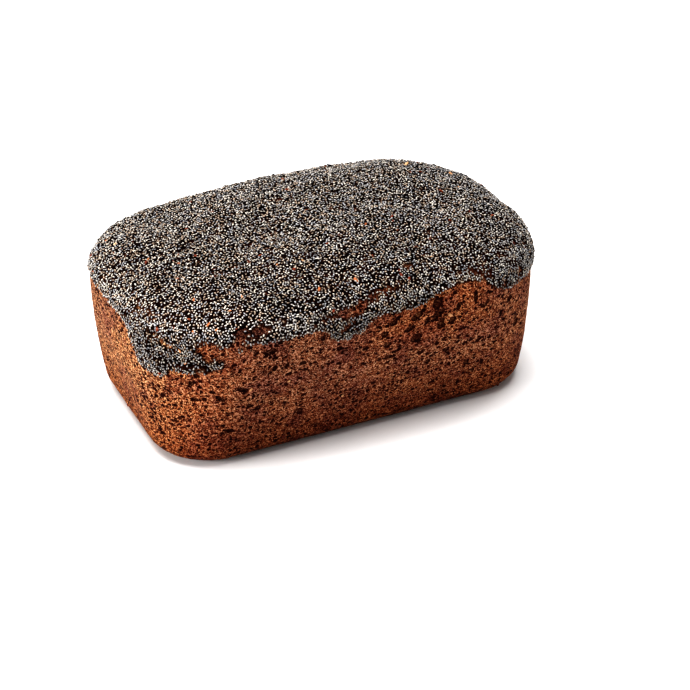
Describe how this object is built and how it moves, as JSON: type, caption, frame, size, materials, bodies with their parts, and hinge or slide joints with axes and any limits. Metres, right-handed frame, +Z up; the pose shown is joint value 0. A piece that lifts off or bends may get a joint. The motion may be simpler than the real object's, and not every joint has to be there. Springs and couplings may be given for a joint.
{
  "type": "seeded rye bread loaf",
  "caption": "Small whole rye loaf baked in a tapered tin, with a porous brown crust on its sides and a coat of poppy seeds over its gently domed top.",
  "frame": {"origin": "middle of the flat underside, on the surface that the loaf stands on", "axes": "+X along the length of the loaf, +Y across it to the back, +Z up"},
  "size_m": [0.1557, 0.1055, 0.0655],
  "materials": {
    "rye_crust": "baked rye crust: matt, porous, dark brown with orange-brown grain",
    "poppy_seed": "poppy seeds: slate grey to blue-black, slightly glossy, with paler tops",
    "bran_fleck": "toasted bran and grain flecks: tan to orange, matt"
  },
  "bodies": {
    "root": {"rye_loaf": "rye_crust"}
  },
  "joints": []
}
